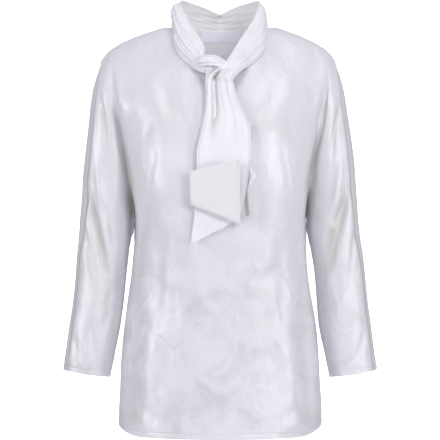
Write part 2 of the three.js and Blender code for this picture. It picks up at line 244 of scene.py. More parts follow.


# crepe-backed satin, pressed smooth on its face: long soft highlights on a cool white, with painted shade,
# greyer where crumpled and warmer in folds
bodySatin = clothMaterial("bodySatin", {
    "color": "#e4e4ea", "deep": "#b4aca2", "roughness": 0.39, "specular": 0.5, "ior": 1.8, "sheen": 0.1,
    "puckerMm": 30, "puckerHigh": 2.4, "stretch": 0.7, "threadMm": 0.9, "thread": 0.16,
    "cloudMm": 56, "cloud": 1.0, "shadePatch": "#ccccd1", "cloudTopZ": -0.28, "cloudFullZ": -0.5})
# the same satin pleated and handled, with shorter crumples and a duller shine; its whiter colour is painted
# light, and its deep colour painted shade
scarfSatin = clothMaterial("scarfSatin", {
    "color": "#eeeef3", "deep": "#bab6b3", "roughness": 0.52, "specular": 0.5, "ior": 1.5, "sheen": 0.1,
    "puckerMm": 15, "puckerHigh": 2.3, "stretch": 0.8, "threadMm": 0.9, "thread": 0.14})
# damask-woven label tape: matt, a little greyer and bluer than the satin
labelTape = clothMaterial("labelTape", {
    "color": "#dddce8", "roughness": 0.75, "specular": 0.25, "ior": 1.5, "sheen": 0.1,
    "puckerMm": 12, "puckerHigh": 0.2, "stretch": 1, "threadMm": 0.7, "thread": 0.5})
# spun polyester sewing thread: a shade darker than the satin, so that the row of stitches can be seen
whiteThread = clothMaterial("whiteThread", {
    "color": "#cfcfd6", "roughness": 0.55, "specular": 0.4, "ior": 1.5, "sheen": 0.05,
    "puckerMm": 5, "puckerHigh": 0.05, "stretch": 1, "threadMm": 0.4, "thread": 0.3})
print("materials made")


# body: the control form, then one shared fine sheet, then its three panels

form = {
    "armpitZ": -331,
    "frontHemZ": -707,
    "backHemZ": -739,
    "sideHemZ": -690,
    "sidePointY": 5,
    "shoulderLean": 3,
    "shoulderSeam": [(86, -2, -2), (128, 0, -10), (166, 1, -26), (180, 1, -34), (190, 0, -41),
                     (198, -1, -50), (205, -2, -60)],
    "neck": {"front": [(0, -84, -103), (52, -72, -75), (77, -46, -46)],
             "back": [(0, 66, 0), (36, 61, 1), (66, 36, 1)]},
    "overarm": [(211.5, -23.5, -110), (220.5, -27.5, -182), (228, -27.5, -268), (236.5, -28.5, -358)],
    # rows from chest to underarm, each from the middle (0) over the fold by the arm (5) to the sleeve (8)
    "rowsX": {"front": [[0, 46, 92, 132, 166, 181, 190, 198, 206],
                        [0, 46, 94, 134, 163, 171, 181, 197, 212],
                        [0, 44, 92, 128, 152, 158, 170, 190, 214],
                        [0, 40, 82, 116, 141, 151, 164, 188, 217]],
              "back": [[0, 46, 92, 134, 166, 184, 199, 212, 219.3],
                       [0, 46, 94, 134, 162, 172, 189, 214, 230.5],
                       [0, 44, 90, 126, 150, 158, 176, 208, 238.5],
                       [0, 40, 82, 116, 141, 151, 165, 203, 244]]},
    "rowsY": {"front": [[-99, -98, -90, -74, -56, -45.5, -43, -39, -31.5],
                        [-119, -119, -115, -90, -60, -36, -43, -44, -37.5],
                        [-127, -128, -125, -101, -62, -22, -37, -43, -39],
                        [-124, -124, -117, -93, -52, 5, -27, -42.5, -41]],
              "back": [[92, 93, 88, 74, 58, 48, 41.5, 24, -1],
                       [98, 99, 94, 78, 56, 38, 46, 39.5, 11],
                       [97, 97, 92, 76, 50, 24, 43.5, 48.5, 15],
                       [94, 94, 86, 68, 40, 5, 38, 57, 17]]},
    "rowsZ": {"front": [-132, -190, -268, -331], "back": [-120, -190, -268, -331]},
    # level, half width, front depth, back depth; under 1, skirtFlat makes it flatter than an ellipse
    "skirtFlat": 0.86,
    "skirt": [(-425, 154, 124, 95), (-500, 164, 123, 99), (-580, 172, 124, 104), (-650, 177, 127, 109),
              (-707, 178.5, 129, 112)],
    # middle x, y, z, half width, half depth, how far the seams turn forwards
    "sleeve": [(209, 6, -424, 46.3, 49, 36), (217, 3, -500, 46, 47, 37), (226, -2, -560, 44.3, 44, 38),
               (233, -7, -604, 43.5, 41, 38)],
    "sleeveLean": 9,
    "wall": 1.3,
    "seamGap": 0.3,
    "torsoSteps": 44,
    "sleeveSteps": 32,
    "upperRows": 48,
    # below the underarm: rows down to the hem, and the length of one step of the form
    "lowerRows": {"skirt": 46, "arm": 48},
    "stepLength": {"skirt": 57, "arm": 44},
    # close rows at a hem, by their height over its edge; the stitches run along the fifth from the last
    "hemRows": [15, 12, 10.6, 9.6, 8.6, 6, 3, 0],
    "stitchRow": -5,
    "stitchHeight": 9.6,
}


def controlNet(face):
    front = face == "front"
    sign = -1 if front else 1
    upper = [np.array(form["neck"][face] + form["shoulderSeam"], float)]
    for r, seam in enumerate(form["overarm"]):
        x = np.array(form["rowsX"][face][r], float)
        level = form["rowsZ"][face][r]
        z = level + (seam[2] - level) * smooth(x / seam[0])
        row = np.stack([x, form["rowsY"][face][r], z], 1)
        upper.append(np.vstack([row, seam]))
    upper[-1][5, 2] = form["armpitZ"]
    # columns of the skirt, round from the middle to the side seam
    angle = np.radians([0, 16, 34, 54, 73, 90])
    across = np.sin(angle)
    skirt = []
    for level, half, frontDepth, backDepth in form["skirt"]:
        depth = frontDepth + form["sidePointY"] if front else backDepth - form["sidePointY"]
        z = np.full(6, float(level))
        if level == form["frontHemZ"]:
            # the last row follows the curved hem
            rise = np.clip((across - 0.66) / 0.34, 0, 1) ** 4 if front else smooth((across - 0.1) / 0.9)
            middle = form["frontHemZ"] if front else form["backHemZ"]
            z = middle + (form["sideHemZ"] - middle) * rise
        y = form["sidePointY"] + sign * depth * np.maximum(np.cos(angle), 0) ** form["skirtFlat"]
        skirt.append(np.stack([half * across, y, z], 1))
    lean = math.radians(form["sleeveLean"])
    # columns of the sleeve, in degrees round it from its inner side, turned forwards towards the overarm seam
    turns = np.array([180, 141, 100, 56, 0] if front else [180, 219, 262, 310, 360], float)
    arm = []
    for mx, my, mz, rx, ry, seam in form["sleeve"]:
        a = np.radians(turns + np.linspace(-8, seam, 5))
        wide = rx * np.cos(a)
        arm.append(np.stack([mx + wide * math.cos(lean), my - ry * np.sin(a), mz + wide * math.sin(lean)], 1))
    return {"upper": upper, "skirt": skirt, "arm": arm}


nets = {"front": controlNet("front"), "back": controlNet("back")}


def bodyPoints(face, inArm, u, v):
    # u goes across, from the middle (0) to the side seam (5) or the overarm seam (9); v goes down, from the
    # shoulder seam (0) over the underarm (4) to the edge of the hem (9) or the cuff (8)
    # each row runs on smoothly over the middle and into the other face at the seams
    own, other = nets[face], nets["back" if face == "front" else "front"]
    flip = np.array([-1, 1, 1])
    rows = [curveAt(row, u, row[1] * flip, other["upper"][r][8] if r else None)
            for r, row in enumerate(own["upper"])]
    if inArm:
        rows += [curveAt(row, u - 5, other["arm"][r][1], other["arm"][r][3])
                 for r, row in enumerate(own["arm"])]
    else:
        rows += [curveAt(row, u, row[1] * flip, other["skirt"][r][4]) for r, row in enumerate(own["skirt"])]
    roll = curveAt(other["upper"][1], u)
    plain = 2 * rows[0] - rows[1]
    over = smooth((u - 1.8) / 1.9)[:, None]
    before = plain * (1 - over) + roll * over
    return curveAt(np.array(rows), v, before)


# creases: bent lines of (x, z) on the right half seen from the front, which mirrored() repeats on the left.
# depth is over 0 for a trough and under 0 for a ridge, steep narrows one of its flanks, and fadeIn and fadeOut
# are the shares of its length in which it begins and dies away.
frontCreases = [
    # sleeve: long fold from the shoulder, drags across the elbow with a bright ridge, short folds to the cuff
    {"path": [(213, -118), (198, -190), (192, -250)], "wide": 6, "depth": 3.6, "steep": 0.5},
    {"path": [(231, -262), (211, -335), (196, -400), (186, -462)], "wide": 12, "depth": 8.5, "steep": 0.5},
    {"path": [(212, -300), (196, -345), (182, -410)], "wide": 8, "depth": 6.5, "steep": 0.55},
    {"path": [(214, -205), (202, -290), (194, -360), (186, -420)], "wide": 7, "depth": -4.2},
    {"path": [(240, -330), (226, -420), (212, -500)], "wide": 7, "depth": 3.6, "steep": 0.55},
    {"path": [(233, -360), (218, -440), (206, -520)], "wide": 6, "depth": -2.2},
    {"path": [(188, -440), (198, -510), (214, -566)], "wide": 9, "depth": 2.8, "steep": 0.7},
    {"path": [(250, -520), (246, -556), (234, -590)], "wide": 5, "depth": 3.0, "steep": 0.6},
    {"path": [(244, -548), (236, -570), (224, -596)], "wide": 4, "depth": 2.0, "steep": 0.6},
    {"path": [(226, -490), (216, -545), (208, -592)], "wide": 6, "depth": 2.0},
    # line between sleeve and body, a fan of fine creases under the bust, and a broad hollow on the chest
    {"path": [(190, -72), (177, -178), (162, -235), (150, -290)], "wide": 4.5, "depth": 3.6, "steep": 0.6,
     "fadeIn": 0.15},
    {"path": [(105, -214), (115, -257), (121, -318)], "wide": 3.4, "depth": 2, "steep": 0.5, "fadeIn": 0.12},
    {"path": [(119, -232), (127, -264), (131, -308)], "wide": 3.5, "depth": 1.4, "steep": 0.5, "fadeIn": 0.2},
    {"path": [(132, -236), (136, -271), (139, -321)], "wide": 3.5, "depth": 1.5, "steep": 0.5, "fadeIn": 0.2},
    {"path": [(90, -70), (85, -130), (80, -200)], "wide": 22, "depth": 1.8, "steep": 0.8},
    # body: drape from the shoulder, pulls over the bust, a slanting crease by the tie, then long hanging folds
    {"path": [(186, -60), (172, -110), (164, -170)], "wide": 7, "depth": -2.2},
    {"path": [(176, -80), (158, -130), (146, -196)], "wide": 13, "depth": 1.6, "steep": 0.8},
    {"path": [(112, -152), (120, -180), (132, -218)], "wide": 5, "depth": 1.2, "steep": 0.6},
    {"path": [(116, -222), (126, -262), (131, -312)], "wide": 10, "depth": -0.6},
    {"path": [(152, -214), (147, -252), (143, -310)], "wide": 10, "depth": 1.4, "steep": 0.8},
    {"path": [(128, -330), (140, -430), (150, -540)], "wide": 10, "depth": 2.6, "steep": 0.6},
    {"path": [(76, -138), (58, -174), (37, -210)], "wide": 4, "depth": 3, "steep": 0.45,
     "fadeIn": 0.2, "fadeOut": 0.2},
    {"path": [(20, -207), (66, -203), (124, -212)], "wide": 16, "depth": 1.0, "fadeIn": 0.4},
    {"path": [(96, -96), (84, -150), (74, -196)], "wide": 11, "depth": 1.6, "steep": 0.7},
    {"path": [(122, -70), (116, -120), (104, -168)], "wide": 10, "depth": -1.6},
    {"path": [(96, -330), (106, -440), (104, -560)], "wide": 16, "depth": 2.6, "steep": 0.7},
    {"path": [(66, -380), (78, -500), (88, -650)], "wide": 18, "depth": 2.2},
    {"path": [(140, -470), (150, -580), (156, -690)], "wide": 12, "depth": 4.2, "steep": 0.6, "fadeOut": 0.1},
    {"path": [(112, -500), (124, -610), (128, -705)], "wide": 14, "depth": -2.8, "fadeOut": 0.1},
]
# warm shade where the sleeve tucks in under the arm
underarmShade = {"path": [(178, -158), (164, -215), (152, -275), (150, -345)], "wide": 6, "depth": 0.8,
                 "fadeIn": 0.5, "fadeOut": 0.1}
# short uneven folds and drags that each half of the front has of its own
frontLeftOnly = [
    {"path": [(-30, -330), (-22, -440), (-36, -590)], "wide": 18, "depth": 1.6},
    {"path": [(-62, -300), (-44, -316), (-24, -316)], "wide": 6, "depth": 1.8, "steep": 0.6},
    {"path": [(-128, -520), (-90, -552), (-50, -560)], "wide": 11, "depth": 1.6},
    {"path": [(-84, -400), (-52, -424), (-30, -420)], "wide": 9, "depth": 1.3},
    {"path": [(-150, -640), (-118, -668), (-88, -690)], "wide": 9, "depth": 2.0},
    {"path": [(-20, -462), (8, -490), (14, -520)], "wide": 10, "depth": 1.8, "steep": 0.6},
]
frontRightOnly = [
    {"path": [(40, -400), (30, -510), (44, -650)], "wide": 16, "depth": 1.8},
    {"path": [(88, -290), (66, -322), (60, -366)], "wide": 7, "depth": 1.8, "steep": 0.6},
    {"path": [(110, -400), (80, -436), (44, -448)], "wide": 11, "depth": 1.4},
    {"path": [(20, -478), (44, -500), (56, -548)], "wide": 9, "depth": 1.6, "steep": 0.6},
    {"path": [(154, -630), (122, -664), (92, -684)], "wide": 9, "depth": 2.0},
    {"path": [(70, -560), (40, -588), (8, -596)], "wide": 10, "depth": 1.3},
]
# back: sleeve folds first, then long folds down to the hem
backCreases = [
    {"path": [(222, -150), (204, -240), (196, -320)], "wide": 8, "depth": 3.2, "steep": 0.6},
    {"path": [(240, -250), (212, -330), (184, -420)], "wide": 11, "depth": 6, "steep": 0.55},
    {"path": [(244, -380), (224, -460), (204, -520)], "wide": 9, "depth": 3, "steep": 0.6},
    {"path": [(250, -500), (240, -560), (224, -592)], "wide": 7, "depth": 2},
    {"path": [(160, -120), (140, -200), (132, -300)], "wide": 12, "depth": 3.4, "steep": 0.6},
    {"path": [(104, -90), (92, -200), (98, -340)], "wide": 15, "depth": 2.6, "steep": 0.7},
    {"path": [(60, -190), (72, -380), (84, -610)], "wide": 19, "depth": 4.2, "steep": 0.8},
    {"path": [(120, -330), (136, -480), (142, -660)], "wide": 15, "depth": 3.6, "steep": 0.7,
     "fadeOut": 0.15},
    {"path": [(28, -260), (24, -440), (32, -650)], "wide": 16, "depth": -2.2},
]


def mirrored(creases):
    # the same folds on the other side, a little different in place and depth
    out = []
    for k, c in enumerate(creases):
        shift = math.sin(3.1 * k + 1)
        out.append({**c, "path": [(-x + 3 * shift, z + 9 * shift) for x, z in c["path"]],
                    "depth": c["depth"] * (1 + 0.25 * math.sin(2.3 * k))})
    return out


def puckerDepth(x, y, z):
    # faint uneven swell of hanging satin: steps across and down, start and height of each wave
    waves = [(0.021, 0.011, 0.4, 0.55), (-0.017, 0.024, 1.9, 0.5), (0.034, -0.014, 2.6, 0.4),
             (0.012, 0.041, 5.1, 0.35), (-0.045, 0.03, 3.3, 0.26), (0.06, 0.022, 0.9, 0.2),
             (-0.083, 0.051, 2.2, 0.12), (0.071, 0.094, 4.0, 0.1), (0.11, -0.062, 1.1, 0.08)]
    return sum(a * np.sin(kx * (x + 0.6 * y) + kz * z + p) for kx, kz, p, a in waves)


def lowerRows(part, last):
    # rows from the underarm down to the edge, with close ones at the stitched hem
    edge = last - np.array(form["hemRows"]) / form["stepLength"][part]
    return np.concatenate([np.linspace(4, edge[0], form["lowerRows"][part])[:-1], edge])


def hemInset(height):
    # the stitches draw the cloth in, and the turned hem below them stands out
    return 0.55 * np.exp(-((height - form["stitchHeight"]) / 0.8) ** 2) - 0.25 * smooth((9 - height) / 1.5)


def joinSeams(part, p, kept, u):
    # the back takes the front's own points along the seams that they share
    if part.startswith("upper"):
        p[0, u >= 3] = kept[0, u >= 3]
    if part == "upperTorso":
        p[-1, -1] = kept[-1, -1]
    else:
        p[:, -1] = kept[:, -1]
    if part == "arm":
        p[:, 0] = kept[:, 0]


def bodySheet():
    # columns, with two close ones at the middle seam
    uTorso = np.concatenate([[0, 0.022, 0.055], np.linspace(0, 5, form["torsoSteps"] + 1)[1:]])
    uSleeve = np.linspace(5, 9, form["sleeveSteps"] + 1)
    vUpper = np.linspace(0, 4, form["upperRows"] + 1)
    parts = (("upperTorso", uTorso, vUpper), ("upperSleeve", uSleeve, vUpper),
             ("skirt", uTorso, lowerRows("skirt", 9)), ("arm", uSleeve, lowerRows("arm", 8)))
    points, insets, frontParts = [], [], {}
    faces = {"front": [], "back_left": [], "back_right": []}
    stitchRows = {name: [] for name in faces}
    count = 0
    for face, side, (part, u, v) in itertools.product(("front", "back"), (-1, 1), parts):
        p = bodyPoints(face, part in ("upperSleeve", "arm"), u, v)
        if part == "upperSleeve":
            p[:, 0] = bodyPoints(face, False, u[:1], v)[:, 0]
        if face == "front":
            frontParts[part] = p.copy()
            panel = "front"
        else:
            joinSeams(part, p, frontParts[part], u)
            panel = "back_left" if side < 0 else "back_right"
        index = np.arange(count, count + p.shape[0] * p.shape[1]).reshape(p.shape[:2])
        count += index.size
        inset = np.zeros(index.shape)
        if part in form["stepLength"]:
            inset += hemInset((v[-1] - v) * form["stepLength"][part])[:, None]
            stitchRows[panel].append(index[form["stitchRow"]])
        p[..., 0] *= side
        # the shoulders lean a little to the left
        lean = smooth((np.abs(p[..., 0]) - 90) / 90) * smooth((p[..., 2] + 330) / 230)
        p[..., 0] -= form["shoulderLean"] * lean
        points.append(p.reshape(-1, 3))
        insets.append(inset.reshape(-1))
        quads = gridFaces(index)
        faces[panel].append(quads[:, ::-1] if (side > 0) != (face == "front") else quads)
    points, insets = np.concatenate(points), np.concatenate(insets)
    # points in the same place become one
    keys = np.round(points * 200).astype(np.int64)
    _, first, same = np.unique(keys, axis=0, return_index=True, return_inverse=True)
    same = same.reshape(-1)
    faces = {name: same[np.concatenate(q)] for name, q in faces.items()}
    stitchRows = {name: [same[row] for row in rows] for name, rows in stitchRows.items()}
    return points[first], faces, insets[first], stitchRows


# how much of the deep colour, as painted shade, the satin takes, from 0 to 1; full is the depth in mm of a
# crease that takes all
bodyShade = {"full": 7, "torsoCreases": 0.2, "sleeveCreases": 0.6, "chest": 0.1, "shoulders": 0.05,
             "sleeves": 0.05, "hemCorners": 0.3, "middleSeam": 0.9, "sideSeams": 0.4, "sleeveSeams": 0.95}


def shadeBody(x, z, depth, onFront, seamLine):
    across = np.abs(x)
    torso, sleeve = bodyShade["torsoCreases"], bodyShade["sleeveCreases"]
    # painted shade in the creases, stronger on the sleeves
    shade = smooth(depth / bodyShade["full"]) * (torso + (sleeve - torso) * smooth((across - 148) / 22))
    underarms = creaseDepth(x, z, [underarmShade]) + creaseDepth(-x, z, [underarmShade])
    shade = np.maximum(shade, onFront * underarms)
    # painted shade: the satin is darker over the shoulders and the chest, which lean back, and warmer down the
    # sleeves
    chest = onFront * smooth((z + 214) / 9) * smooth((-z - 100) / 60) * smooth((150 - across) / 50)
    shoulders = smooth((z + 95) / 45) * smooth((across - 62) / 20)
    sleeves = smooth((across - 150) / 30) * smooth((-z - 90) / 60)
    shade = np.maximum(shade, bodyShade["chest"] * chest)
    shade = np.maximum(shade, bodyShade["shoulders"] * shoulders)
    shade = np.maximum(shade, bodyShade["sleeves"] * sleeves + (1 - bodyShade["sleeves"]) * shade)
    # and painted shade in the crumpled patches at the corners of the hem
    corners = np.exp(-((across - 152) / 24) ** 2 - ((z + 672) / 20) ** 2)
    shade = np.maximum(shade, bodyShade["hemCorners"] * onFront * corners)
    # painted shade along the seams, which lie in grooves
    atSide = (across < 190) & (z < form["armpitZ"])
    seams = np.where(across < 5, bodyShade["middleSeam"],
                     np.where(atSide, bodyShade["sideSeams"], bodyShade["sleeveSeams"]))
    return np.where(seamLine, seams, shade)


def creaseBody(points, normals, inset, onSeam):
    # returns how far each point goes inwards, and its shade
    x, y, z = points.T
    onFront = smooth((0.35 - normals[:, 1]) / 0.7)
    front = frontCreases + mirrored(frontCreases) + frontLeftOnly + frontRightOnly
    depth = onFront * creaseDepth(x, z, front)
    depth += (1 - onFront) * creaseDepth(x, z, backCreases + mirrored(backCreases))
    depth += puckerDepth(x, y, z) * smooth((-z - 50) / 110)
    # the shoulder seams hold the cloth nearly flat, and every seam lies in a groove
    calm = np.where(onSeam & (z > form["armpitZ"] - 5) & (np.abs(x) < 150), 0.2, 1)
    seamLine = onSeam & ((np.abs(x) > 150) | (y > 20))
    groove = np.where(seamLine, 0.3 + 0.7 * smooth((-z - 70) / 60), np.where(onSeam, 0.5, 0))
    return depth * calm + inset + groove, shadeBody(x, z, depth, onFront, seamLine)


# stitches: one thread dash, copied along each hem

stitch = {"long": 2.3, "thick": 0.34, "pitch": 3.1, "proud": 0.12}


def dashShape():
    bpy.ops.object.select_all(action="DESELECT")
    bpy.ops.mesh.primitive_uv_sphere_add(segments=6, ring_count=5, radius=0.5)
    ball = bpy.context.object
    shape = np.array([v.co for v in ball.data.vertices]) * [stitch["thick"], stitch["thick"], stitch["long"]]
    sides = [list(f.vertices) for f in ball.data.polygons]
    bpy.ops.object.delete()
    return shape, sides


dash, dashSides = dashShape()


def readAlong(values, far, place):
    return np.array([np.interp(place, far, values[:, k]) for k in range(3)])


def makeStitches(name, lines):
    points, quads = [], []
    for line, out in lines:
        far = np.concatenate([[0], np.cumsum(np.linalg.norm(np.diff(line, axis=0), axis=1))])
        for place in np.arange(2, far[-1] - 1, stitch["pitch"]):
            here = readAlong(line, far, place)
            way = readAlong(line, far, place + 0.5) - here
            way /= np.linalg.norm(way)
            normal = readAlong(out, far, place)
            normal /= np.linalg.norm(normal)
            axes = np.stack([np.cross(normal, way), normal, way])
            quads += [[len(points) * len(dash) + k for k in side] for side in dashSides]
            points.append(dash @ axes + here + normal * stitch["proud"])
    obj = addObject(name, np.concatenate(points) * 0.001, quads)
    bpy.ops.object.shade_smooth()
    dress(obj, whiteThread, [])
    return obj


def drawnBack(own, local, normals, onSeam):
    # the panel draws back from its seams, along its own surface
    middle = np.zeros_like(own)
    n = np.zeros(len(own))
    centres = own[local].mean(axis=1)
    for k in range(4):
        np.add.at(middle, local[:, k], centres)
        np.add.at(n, local[:, k], 1)
    away = middle / n[:, None] - own
    away -= normals * np.sum(away * normals, axis=1, keepdims=True)
    away /= np.maximum(np.linalg.norm(away, axis=1, keepdims=True), 1e-9)
    return own + np.where(onSeam[:, None], away * form["seamGap"] / 2, 0)


def makeBody():
    points, faces, inset, stitchRows = bodySheet()
    every = np.concatenate(list(faces.values()))
    owners = {name: np.unique(quads) for name, quads in faces.items()}
    # a point on a seam belongs to more than one panel
    used = np.zeros(len(points), int)
    for ids in owners.values():
        used[ids] += 1
    onSeam = used > 1
    normals = outward(points, every)
    inwards, shade = creaseBody(points, normals, inset, onSeam)
    points = points - normals * inwards[:, None]
    normals = outward(points, every)
    for name, quads in faces.items():
        ids = owners[name]
        local = np.searchsorted(ids, quads)
        own = drawnBack(points[ids], local, normals[ids], onSeam[ids])
        obj = makeSheet(name + "_cloth", own, local, form["wall"], bodySatin, [name],
                        shade[ids])
        stitches = makeStitches(name + "_stitches", [(points[row], normals[row]) for row in stitchRows[name]])
        print("panel", name, len(local), "faces, cloth", round(sheetArea(obj), 4), "m2")


makeBody()


# scarf: two pleated bands from the middle of the back, of which the right one runs on as the front end. Along
# a band, q is 0 in the middle of the back, 3 at the shoulder seam, 5 at the front, 7 in the knot, 15 at the
# fold of the front end and 18 at the end of its flap. Across it, t is 0 at the neck edge and 1 at the top.

scarf = {
    "wall": 1.6,
    "pleats": 4.2,
    "pleatDepth": 0.95,
    # how far the bands sit over the neck edge, and how far at the back, where light would show between them
    "seat": 0.9,
    "backSeat": 0.05,
    # inner edge x, y, z and bulge, from the middle of the back to the front
    "left": [(0, 58, 28.5, 2), (30, 54, 41, 2), (56, 34, 47.5, 5),
             (68.5, 2, 44.5, 12), (53, -39, 4, 10), (29, -79, -37, 9)],
    "right": [(0, 58, 28.5, 2), (26, 54, 40.5, 2), (54, 34, 47, 4),
              (69, 2, 44.5, 5), (56, -37, 6, 9.5), (34, -74, -31, 9)],
    # from the front on: inner edge x, y, z, outer edge x, y, z and bulge
    "leftRun": [(26, -91, -61, 33, -90, -88, 5), (10, -100, -66, 12, -99, -88, 2)],
    "rightRun": [(10, -105, -69.5, 39, -95, -84, 9), (-13, -109, -89, 22.5, -112, -100.5, 6),
                 (-20.5, -110, -104, 24, -113.5, -110, 3), (-21, -116, -128, 28.6, -117, -131, 2),
                 (-24, -122.5, -158, 42, -122.5, -162, 0), (-32.5, -130, -196, 50.3, -130, -187, 0),
                 (-38.6, -134, -221, 51.8, -134, -221, 0), (-39.6, -137.5, -253, 49, -137.5, -253, 0),
                 (-47.4, -141.5, -306, 36, -141.5, -338, 0), (-48.8, -145.2, -309.8, 34.6, -145.2, -341.6, 0),
                 (-48.8, -148.8, -306, 34, -148.8, -337.6, 0), (-50, -150.4, -285, 33.6, -150.4, -290, 0),
                 (-51, -152, -257, 32.9, -152, -237, 0)],
    # steps: number of columns up to each place along the band
    "leftSteps": [(5, 80), (7, 32)],
    "rightSteps": [(5, 80), (9, 72), (13.6, 62), (15.4, 16), (18, 26)],
    "across": 72,
    # front end: its width, the length of one step of its flap, and how far in its edges are sewn
    "endWidth": 90,
    "flapStep": 48,
    "sewnIn": 3,
}


def neckline(q):
    # the panels' neck edge at places 0 to 5
    back = bodyPoints("back", False, np.minimum(q, 3), np.array([0.0]))[0]
    front = bodyPoints("front", False, np.clip(6 - q, 0, 3), np.array([0.0]))[0]
    return np.where((q <= 3)[:, None], back, front)


def bandLift(q, t, side):
    # pleats run along the band, wander a little and crowd together at the knot
    grow = smooth((q - 0.9) / 2.2)
    phase = 2 * math.pi * scarf["pleats"] * t ** (1 + 0.16 * np.sin(1.3 * q + side))
    wander = 0.75 * np.sin(0.9 * q * side + 0.7) + 0.45 * np.sin(2.1 * q)
    wave = np.sin(phase + wander) * (0.62 + 0.38 * np.sin(2.2 * t + 1.7 * q - side))
    sharp = wave - 0.24 * np.cos(2 * (phase + wander))
    fine = 0.42 * np.sin(1.9 * phase + 3.1 * q + side) * np.sin(1.3 * q + 5 * t)
    # gathers at the seam in the middle of the back
    broad = 0.9 * np.sin(2 * math.pi * 3.2 * t + 2.2 * q)
    narrow = 0.5 * np.sin(2 * math.pi * 5.3 * t - 3 * q + 1)
    gathers = np.exp(-(q / 1.5) ** 2) * smooth(q / 0.12) * (broad + narrow)
    return scarf["pleatDepth"] * grow * sharp + grow * fine + 0.6 * gathers


def sewnLine(q, a, spread):
    # the seam that closes the front end, a fine line 3 mm inside its edges
    sides = np.exp(-((scarf["endWidth"] * np.minimum(a, 1 - a) - scarf["sewnIn"]) / spread) ** 2)
    end = np.exp(-((18 - q) * scarf["flapStep"] - scarf["sewnIn"]) ** 2 / 3.4)
    return sides * smooth((q - 9) / 1.5) + end


def frontEndLift(q, a):
    # strip and deep fold at the left, then two broad pleats that fan out and die away
    fan = smooth((q - 6.2) / 0.7) * smooth((12.6 - q) / 4)
    deep = -9 * np.exp(-((a - 0.23) / 0.085) ** 2) * fan
    broad = 2.1 * np.cos(2 * math.pi * (a - 0.5 - 0.012 * (q - 8)) / 0.36) * fan * smooth((a - 0.2) / 0.15)
    fine = 0.7 * np.cos(2 * math.pi * (a - 0.44) / 0.13 + 0.3 * q) * fan * smooth((a - 0.25) / 0.15)
    # drawn together in the knot, a little uneven below, and the flap curls slightly
    pinch = 4.5 * np.exp(-((q - 6.8) / 0.55) ** 2) * np.sin(math.pi * a) ** 1.5
    swell = 1.2 * smooth((q - 9.5) / 2) * np.sin(5.2 * a + 0.7 * q) * smooth((14 - q) / 1.5)
    curl = 4.4 * smooth(q - 16.6) * (a - 0.45) ** 2 - 0.9 * np.sin(3.4 * a + 0.5)
    flap = smooth((q - 15.4) / 0.6) * curl
    # folded up, the cloth shows its other side
    seam = 0.6 * sewnLine(q, a, 1.3) * np.where(q > 14.8, 1, -1)
    return deep + broad + fine + pinch + swell + flap + seam


def shadeScarf(q, t, side, hollow):
    # painted shade in the hollows of the pleats
    shade = smooth(hollow / 8)
    # painted shade at the middle seam of the back, darkest near the top
    shade[:, :2] = np.maximum(shade[:, :2], 0.25 + 0.75 * smooth((t - 0.7) / 0.12))
    # painted shade on the lower part of the front end, a little less on its flap
    shade = np.maximum(shade, 0.28 * smooth((q - 12.4) / 1.2) - 0.06 * smooth((q - 15) / 0.6))
    # painted shade along the sewn line of the front end
    if side > 0:
        shade = np.maximum(shade, 0.42 * np.minimum(sewnLine(q, t, 1.2), 1))
    # painted shade at the back of the neck
    return np.maximum(shade, 0.5 - 0.5 * smooth(q - 2.2))


def scarfHalf(side):
    key = "left" if side < 0 else "right"
    band = np.array(scarf[key], float)
    run = np.array(scarf[key + "Run"], float)
    start, q = 0, []
    for place, count in scarf[key + "Steps"]:
        q.append(np.linspace(start, place, count, endpoint=False))
        start = place
    q = np.concatenate(q + [[start]])
    inner = np.vstack([band[:, :3], run[:, :3]])
    tops = curveAt(inner, q)
    outer = np.vstack([neckline(np.array([4.0, 5.0])), run[:, 3:6]])
    feet = np.where((q <= 5)[:, None], neckline(np.minimum(q, 5)), curveAt(outer, np.maximum(q - 4, 0)))
    rise = tops - feet
    onBand = smooth((7 - q) / 1.5)
    seat = scarf["seat"] - (scarf["seat"] - scarf["backSeat"]) * smooth((3 - q) / 0.6)
    feet = feet + (seat * onBand)[:, None] * rise / np.linalg.norm(rise, axis=1, keepdims=True)
    feet[:, 1] -= 3 * smooth((q - 5) / 0.4) * onBand
    t = np.linspace(0, 1, scarf["across"] + 1)[:, None]
    base = feet[None] + (tops - feet)[None] * t[..., None]
    # the folds stand out from the neck on the bands, and straight forwards on the hanging end
    out = -np.cross(np.gradient(base, q, axis=1), np.broadcast_to(tops - feet, base.shape))
    out /= np.linalg.norm(out, axis=2, keepdims=True)
    hanging = smooth((q - 7.6) / 1.2)[None, :, None]
    out = out * (1 - hanging) + np.array([0.0, -1.0, 0.0]) * hanging
    # the roll is fullest near its top edge at the sides of the neck
    bulge = np.interp(q, np.arange(len(inner)), np.concatenate([band[:, 3], run[:, 6]]))
    fullness = bulge * np.sin(math.pi * t ** (0.8 + 0.8 * np.exp(-((q - 3) / 0.7) ** 2)))
    through = smooth((q - 5.5) / 1.3) if side > 0 else 0
    lift = fullness + bandLift(q, t, side) * (1 - through) + through * frontEndLift(q, 1 - t)
    # the sewn neck edge stays flat, and the halves leave a gap at their middle seam
    lift = lift * (1 - (1 - smooth(t / 0.05 + 0.15)) * onBand)
    p = base + out * lift[..., None]
    p[:, 0, 0] = 0.16
    p[..., 0] *= side
    index = np.arange(q.size * t.size).reshape(t.size, q.size)[::-1]
    quads = gridFaces(index)
    if side > 0:
        quads = quads[:, ::-1]
    stands = ["collar_left"] if side < 0 else ["collar_right", "tie_front"]
    obj = makeSheet("scarf_" + key, p, quads, scarf["wall"], scarfSatin, stands,
                    shadeScarf(q, t, side, fullness - lift))
    print("scarf", key, len(quads), "faces,", round(sheetArea(obj), 4), "m2")


scarfHalf(-1)
scarfHalf(1)


# knot: the band that crosses over the ends from the left and tucks in behind the right one

